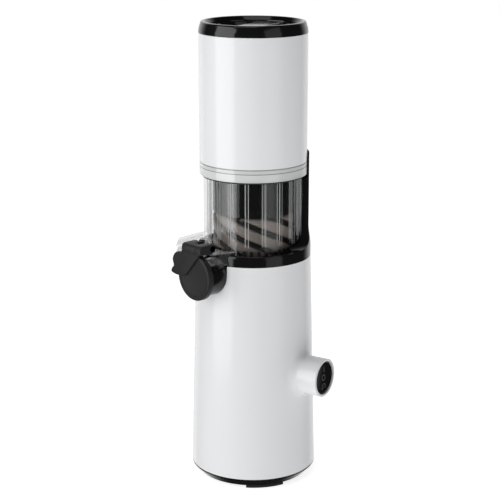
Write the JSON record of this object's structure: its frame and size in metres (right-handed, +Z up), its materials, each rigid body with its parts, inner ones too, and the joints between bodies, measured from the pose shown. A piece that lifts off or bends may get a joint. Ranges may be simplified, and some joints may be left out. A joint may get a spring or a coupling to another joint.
{
  "type": "slow juicer",
  "caption": "Upright slow juicer: motor base with switch, clear bowl with screw auger, capped spout and pulp chute, tall round hopper with lift-out lid.",
  "frame": {"origin": "on the main axis of the body, at the surface the feet stand on", "axes": "+Z up the main axis; the juice spout points along -Y, the spine stands along +Y"},
  "size_m": [0.1364, 0.1364, 0.421],
  "materials": {
    "gloss_white": "gloss",
    "gloss_black": "gloss",
    "satin_black": "satin",
    "clear_plastic": "clear gloss",
    "auger_plastic": "gloss",
    "silicone": "matte",
    "foot_rubber": "matte",
    "steel": "brushed",
    "magnet_ferrite": "matte",
    "copper": "bare",
    "gear_nylon": "satin",
    "casing_plastic": "matte",
    "board_laminate": "satin",
    "board_components": "satin"
  },
  "bodies": {
    "base": {"foot_pads": "foot_rubber", "base_plate": "gloss_black", "base_screws": "steel", "body_shell": "gloss_white", "cord_inlet": "satin_black", "collar": "gloss_black", "spine": "gloss_black", "spine_cover": "gloss_black", "reed_sensor": "board_components", "shaft_seal": "silicone", "switch_boss": "gloss_white", "switch_body": "satin_black", "switch_pin": "steel", "gearbox_housing": "casing_plastic", "gearbox_cover": "casing_plastic", "gearbox_screws": "steel", "ring_gear": "gear_nylon", "output_bearing": "steel", "motor_can": "steel", "motor_end_cap": "casing_plastic", "motor_bearings": "steel", "motor_magnets": "magnet_ferrite", "brush_holders": "casing_plastic", "control_board": "board_laminate", "board_parts": "board_components"},
    "bowl": {"juice_bowl": "clear_plastic", "bowl_gasket": "silicone", "bowl_seal": "silicone", "strainer": "satin_black"},
    "auger": {"auger_screw": "auger_plastic", "auger_foot": "satin_black", "drive_socket": "steel", "feed_drum": "gloss_black"},
    "hopper": {"hopper_skirt": "clear_plastic", "hopper_tube": "gloss_white", "feed_chute": "gloss_white", "hopper_magnet": "magnet_ferrite", "trim_ring": "gloss_black"},
    "lid": {"lid_cap": "gloss_black", "lid_liner": "satin_black"},
    "spout_cap": {"cap_disc": "satin_black", "cap_lever": "satin_black", "cap_seal": "silicone"},
    "rocker": {"switch_rocker": "gloss_black"},
    "drive": {"output_shaft": "steel", "carrier_2": "gear_nylon"},
    "planet_carrier": {"carrier_1": "gear_nylon", "sun_gear_2": "gear_nylon"},
    "rotor": {"motor_shaft": "steel", "rotor_core": "steel", "rotor_windings": "copper", "commutator": "copper", "motor_fan": "casing_plastic", "sun_gear_1": "steel"},
    "gear_1a": {"planet_1a": "gear_nylon"},
    "gear_1b": {"planet_1b": "gear_nylon"},
    "gear_1c": {"planet_1c": "gear_nylon"},
    "gear_2a": {"planet_2a": "gear_nylon"},
    "gear_2b": {"planet_2b": "gear_nylon"},
    "gear_2c": {"planet_2c": "gear_nylon"}
  },
  "joints": [
    {"name": "bowl_lift", "type": "slide", "parent": "base", "child": "bowl", "axis": [0, 0, 1], "range_m": [0, 0.06]},
    {"name": "hopper_lift", "type": "slide", "parent": "bowl", "child": "hopper", "axis": [0, 0, 1], "range_m": [0, 0.05]},
    {"name": "lid_lift", "type": "slide", "parent": "hopper", "child": "lid", "axis": [0, 0, 1], "range_m": [0, 0.04]},
    {"name": "cap_swing", "type": "hinge", "parent": "bowl", "child": "spout_cap", "pos_m": [0, -0.0596, 0.2265], "axis": [-1, 0, 0], "range_deg": [0, 120]},
    {"name": "auger_spin", "type": "hinge", "parent": "bowl", "child": "auger", "pos_m": [0, 0, 0.2], "axis": [0, 0, 1], "continuous": true},
    {"name": "drive_spin", "type": "hinge", "parent": "base", "child": "drive", "pos_m": [0, 0, 0.17], "axis": [0, 0, 1], "continuous": true},
    {"name": "carrier_spin", "type": "hinge", "parent": "base", "child": "planet_carrier", "pos_m": [0, 0, 0.13], "axis": [0, 0, 1], "continuous": true},
    {"name": "rotor_spin", "type": "hinge", "parent": "base", "child": "rotor", "pos_m": [0, 0, 0.08], "axis": [0, 0, 1], "continuous": true},
    {"name": "gear_1a_spin", "type": "hinge", "parent": "planet_carrier", "child": "gear_1a", "pos_m": [0.01875, 0, 0.1205], "axis": [0, 0, 1], "continuous": true},
    {"name": "gear_1b_spin", "type": "hinge", "parent": "planet_carrier", "child": "gear_1b", "pos_m": [-0.00937, 0.01624, 0.1205], "axis": [0, 0, 1], "continuous": true},
    {"name": "gear_1c_spin", "type": "hinge", "parent": "planet_carrier", "child": "gear_1c", "pos_m": [-0.00937, -0.01624, 0.1205], "axis": [0, 0, 1], "continuous": true},
    {"name": "gear_2a_spin", "type": "hinge", "parent": "drive", "child": "gear_2a", "pos_m": [0.01875, 0, 0.1395], "axis": [0, 0, 1], "continuous": true},
    {"name": "gear_2b_spin", "type": "hinge", "parent": "drive", "child": "gear_2b", "pos_m": [-0.00937, 0.01624, 0.1395], "axis": [0, 0, 1], "continuous": true},
    {"name": "gear_2c_spin", "type": "hinge", "parent": "drive", "child": "gear_2c", "pos_m": [-0.00937, -0.01624, 0.1395], "axis": [0, 0, 1], "continuous": true},
    {"name": "switch_tilt", "type": "hinge", "parent": "base", "child": "rocker", "pos_m": [0.06897, 0.01848, 0.1038], "axis": [-0.2588, 0.9659, 0], "range_deg": [-8, 8]}
  ],
  "couplings": [
    {"joint": "drive_spin", "follows": "auger_spin", "ratio": 1},
    {"joint": "carrier_spin", "follows": "auger_spin", "ratio": 5},
    {"joint": "rotor_spin", "follows": "auger_spin", "ratio": 25},
    {"joint": "gear_2a_spin", "follows": "auger_spin", "ratio": -2.6667},
    {"joint": "gear_2b_spin", "follows": "auger_spin", "ratio": -2.6667},
    {"joint": "gear_2c_spin", "follows": "auger_spin", "ratio": -2.6667},
    {"joint": "gear_1a_spin", "follows": "auger_spin", "ratio": -13.333},
    {"joint": "gear_1b_spin", "follows": "auger_spin", "ratio": -13.333},
    {"joint": "gear_1c_spin", "follows": "auger_spin", "ratio": -13.333}
  ]
}
